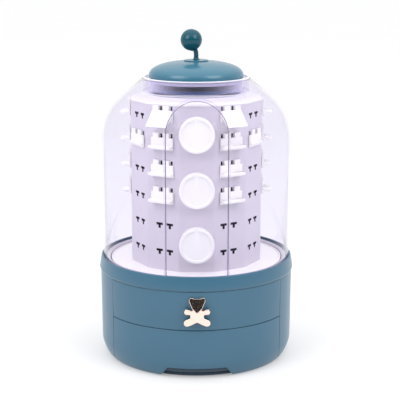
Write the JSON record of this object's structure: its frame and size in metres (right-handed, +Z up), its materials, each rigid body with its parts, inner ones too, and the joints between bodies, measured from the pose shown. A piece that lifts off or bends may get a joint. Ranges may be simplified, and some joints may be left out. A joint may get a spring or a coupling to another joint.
{
  "type": "rotating jewelry box",
  "caption": "Round jewelry box: a clear dome with a sliding arched door over a turning tower of hooks, a lidded well on top, and drawers in the teal base.",
  "frame": {"origin": "on the table under the axis of the turning tower, at the underside of the middle foot", "axes": "+Z up along the tower's axis, -Y towards the door and the drawer fronts, +X to the right seen from the front"},
  "size_m": [0.2008, 0.2061, 0.3372],
  "materials": {
    "teal_gloss_plastic": "smooth gloss, dusty teal",
    "blue_tray_plastic": "fine satin",
    "navy_plastic": "satin, near black",
    "black_rubber": "matte",
    "white_slide_plastic": "waxy",
    "zinc_steel": "bright zinc",
    "lavender_plastic": "satin lavender",
    "clear_acrylic": "polished clear acrylic",
    "frosted_plastic": "frosted, half clear",
    "flocked_velvet": "short flock",
    "pearl_white_plastic": "glossy pearl white",
    "knob_enamel": "gloss, as the lid",
    "rose_gold": "polished rose-gold plating"
  },
  "bodies": {
    "base": {"base_shell": "teal_gloss_plastic", "base_floor": "blue_tray_plastic", "rubber_feet": "black_rubber", "drawer_shelf": "blue_tray_plastic", "lower_drawer_runners": "white_slide_plastic", "upper_drawer_runners": "white_slide_plastic", "deck_plate": "blue_tray_plastic", "glide_ring": "white_slide_plastic", "turntable_pin": "zinc_steel", "pin_washer": "white_slide_plastic", "pin_clip": "zinc_steel", "collar_ring": "teal_gloss_plastic", "track_ring": "lavender_plastic", "clear_dome": "clear_acrylic", "well_cup": "clear_acrylic", "well_ring": "frosted_plastic", "well_pad": "flocked_velvet"},
    "tower": {"turntable": "lavender_plastic", "tower_shell": "lavender_plastic", "tower_cap": "lavender_plastic", "dish_front_lower": "pearl_white_plastic", "dish_front_middle": "pearl_white_plastic", "dish_front_upper": "pearl_white_plastic", "dish_back_lower": "pearl_white_plastic", "dish_back_middle": "pearl_white_plastic", "dish_back_upper": "pearl_white_plastic", "ledge_hooks_face_1": "pearl_white_plastic", "ledge_hooks_face_2": "pearl_white_plastic", "ledge_hooks_face_3": "pearl_white_plastic", "ledge_hooks_face_4": "pearl_white_plastic", "ledge_hooks_face_5": "pearl_white_plastic", "ledge_hooks_face_7": "pearl_white_plastic", "ledge_hooks_face_8": "pearl_white_plastic", "ledge_hooks_face_9": "pearl_white_plastic", "ledge_hooks_face_10": "pearl_white_plastic", "ledge_hooks_face_11": "pearl_white_plastic", "sloped_hook_face_1": "pearl_white_plastic", "sloped_hook_face_5": "pearl_white_plastic", "sloped_hook_face_7": "pearl_white_plastic", "sloped_hook_face_11": "pearl_white_plastic"},
    "door": {"arch_door": "clear_acrylic"},
    "lid": {"lid_shell": "teal_gloss_plastic", "lid_plate": "blue_tray_plastic", "knob_flange": "knob_enamel", "knob_stem": "knob_enamel", "knob_ball": "knob_enamel", "lid_screw": "zinc_steel"},
    "upper_drawer": {"upper_drawer_front": "teal_gloss_plastic", "upper_drawer_tray": "blue_tray_plastic", "upper_drawer_liner": "flocked_velvet", "bear_pull": "rose_gold", "pull_screw": "zinc_steel"},
    "lower_drawer": {"lower_drawer_front": "teal_gloss_plastic", "grip_pocket": "navy_plastic", "lower_drawer_tray": "blue_tray_plastic", "lower_drawer_liner": "flocked_velvet"}
  },
  "joints": [
    {"name": "tower_turn", "type": "hinge", "parent": "base", "child": "tower", "pos_m": [0, 0, 0.1014], "axis": [0, 0, 1], "continuous": true},
    {"name": "door_slide", "type": "hinge", "parent": "base", "child": "door", "pos_m": [0, 0, 0.0992], "axis": [0, 0, 1], "range_deg": [0, 60]},
    {"name": "lid_lift", "type": "slide", "parent": "base", "child": "lid", "axis": [0, 0, 1], "range_m": [0, 0.06]},
    {"name": "upper_drawer_slide", "type": "slide", "parent": "base", "child": "upper_drawer", "axis": [0, -1, 0], "range_m": [0, 0.09]},
    {"name": "lower_drawer_slide", "type": "slide", "parent": "base", "child": "lower_drawer", "axis": [0, -1, 0], "range_m": [0, 0.09]}
  ]
}
